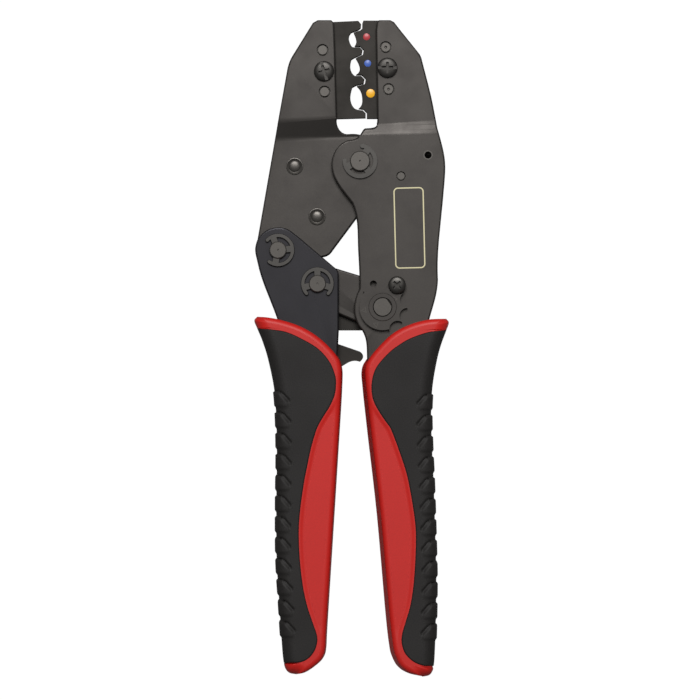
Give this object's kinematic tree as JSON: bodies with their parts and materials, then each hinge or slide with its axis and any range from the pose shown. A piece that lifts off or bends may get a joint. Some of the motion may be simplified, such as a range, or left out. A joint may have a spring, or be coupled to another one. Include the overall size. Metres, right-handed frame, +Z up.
{
  "type": "ratchet crimping tool",
  "caption": "Hand crimping tool for insulated terminals: plate jaws with nested dies, toggle link with ratchet and release lever, star wheel adjuster and two-part grips.",
  "frame": {"origin": "middle of the closed tool's footprint, on the surface it lies on", "axes": "+Y towards the jaws along the length, +Z up through the plates towards the side with the clips, +X towards the fixed jaw"},
  "size_m": [0.068, 0.23, 0.0227],
  "materials": {
    "plate_steel": "black oxide, satin",
    "die_steel": "black oxide, matt",
    "pin_steel": "blackened, turned",
    "spring_steel": "black phosphated spring steel",
    "screw_steel": "black oxide, satin",
    "red_plastic": "moulded, fine grain",
    "black_rubber": "soft moulded cover, matt",
    "red_enamel": "enamel",
    "blue_enamel": "enamel",
    "yellow_enamel": "enamel"
  },
  "bodies": {
    "frame": {"frame_plate_front": "plate_steel", "frame_plate_back": "plate_steel", "fixed_die": "die_steel", "fixed_die_screw": "screw_steel", "fixed_die_nut": "screw_steel", "fixed_die_dowel_upper": "pin_steel", "fixed_die_dowel_lower": "pin_steel", "mark_red": "red_enamel", "mark_blue": "blue_enamel", "mark_yellow": "yellow_enamel", "main_pivot_pin": "pin_steel", "main_pivot_clip": "spring_steel", "frame_spring_pin": "pin_steel", "frame_spring_sleeve": "pin_steel", "lock_screw": "screw_steel", "frame_rivet_upper": "pin_steel", "frame_rivet_lower": "pin_steel", "right_grip_core": "red_plastic", "right_grip_cover": "black_rubber"},
    "adjuster": {"adjuster_wheel": "screw_steel", "eccentric_shaft": "pin_steel", "eccentric_clip": "spring_steel"},
    "jaw": {"jaw_plate_front": "plate_steel", "jaw_plate_back": "plate_steel", "moving_die": "die_steel", "moving_die_screw": "screw_steel", "moving_die_nut": "screw_steel", "moving_die_dowel_upper": "pin_steel", "moving_die_dowel_lower": "pin_steel", "jaw_rivet_upper": "pin_steel", "jaw_rivet_lower": "pin_steel", "jaw_spacer_upper": "pin_steel", "jaw_spacer_lower": "pin_steel"},
    "return_spring": {"return_spring": "spring_steel"},
    "handle": {"handle_plate_front": "plate_steel", "handle_plate_back": "plate_steel", "handle_pivot_pin": "pin_steel", "handle_pivot_pin_clip": "spring_steel", "link_pin": "pin_steel", "link_pin_clip": "spring_steel", "pawl_pin": "pin_steel", "pawl_spring_pin": "pin_steel", "handle_rivet_upper": "pin_steel", "handle_rivet_lower": "pin_steel", "left_grip_core": "red_plastic", "left_grip_cover": "black_rubber"},
    "link": {"link_plate_front": "plate_steel", "link_plate_back": "plate_steel", "ratchet_plate": "die_steel", "link_rivet_upper": "pin_steel", "link_rivet_lower": "pin_steel"},
    "pawl": {"ratchet_pawl": "die_steel"},
    "pawl_spring": {"pawl_spring": "spring_steel"}
  },
  "joints": [
    {"name": "jaw_swing", "type": "hinge", "parent": "frame", "child": "jaw", "pos_m": [0.003, 0.06573, 0.011], "axis": [0, 0, 1], "range_deg": [0, 12]},
    {"name": "handle_swing", "type": "hinge", "parent": "jaw", "child": "handle", "pos_m": [-0.0257, 0.03458, 0.011], "axis": [0, 0, 1], "range_deg": [-44, 0]},
    {"name": "link_swing", "type": "hinge", "parent": "handle", "child": "link", "pos_m": [-0.0119, 0.02283, 0.011], "axis": [0, 0, 1], "range_deg": [0, 58.5]},
    {"name": "return_spring_swing", "type": "hinge", "parent": "frame", "child": "return_spring", "pos_m": [0.01735, 0.06048, 0.011], "axis": [0, 0, 1], "range_deg": [0, 8.5]},
    {"name": "pawl_turn", "type": "hinge", "parent": "handle", "child": "pawl", "pos_m": [-0.0096, -0.00532, 0.011], "axis": [0, 0, 1], "range_deg": [0, 25], "stiffness_Nm_per_rad": 0.02},
    {"name": "pawl_spring_swing", "type": "hinge", "parent": "handle", "child": "pawl_spring", "pos_m": [-0.013, -0.02827, 0.011], "axis": [0, 0, 1], "range_deg": [-7.5, 0]},
    {"name": "adjuster_turn", "type": "hinge", "parent": "frame", "child": "adjuster", "pos_m": [0.0109, 0.01463, 0.011], "axis": [0, 0, 1], "range_deg": [-1.5, 1.5]}
  ],
  "couplings": [
    {"joint": "handle_swing", "follows": "jaw_swing", "ratio": -3.65},
    {"joint": "link_swing", "follows": "jaw_swing", "ratio": 4.85},
    {"joint": "return_spring_swing", "follows": "jaw_swing", "ratio": 0.684},
    {"joint": "pawl_spring_swing", "follows": "pawl_turn", "ratio": -0.292}
  ]
}
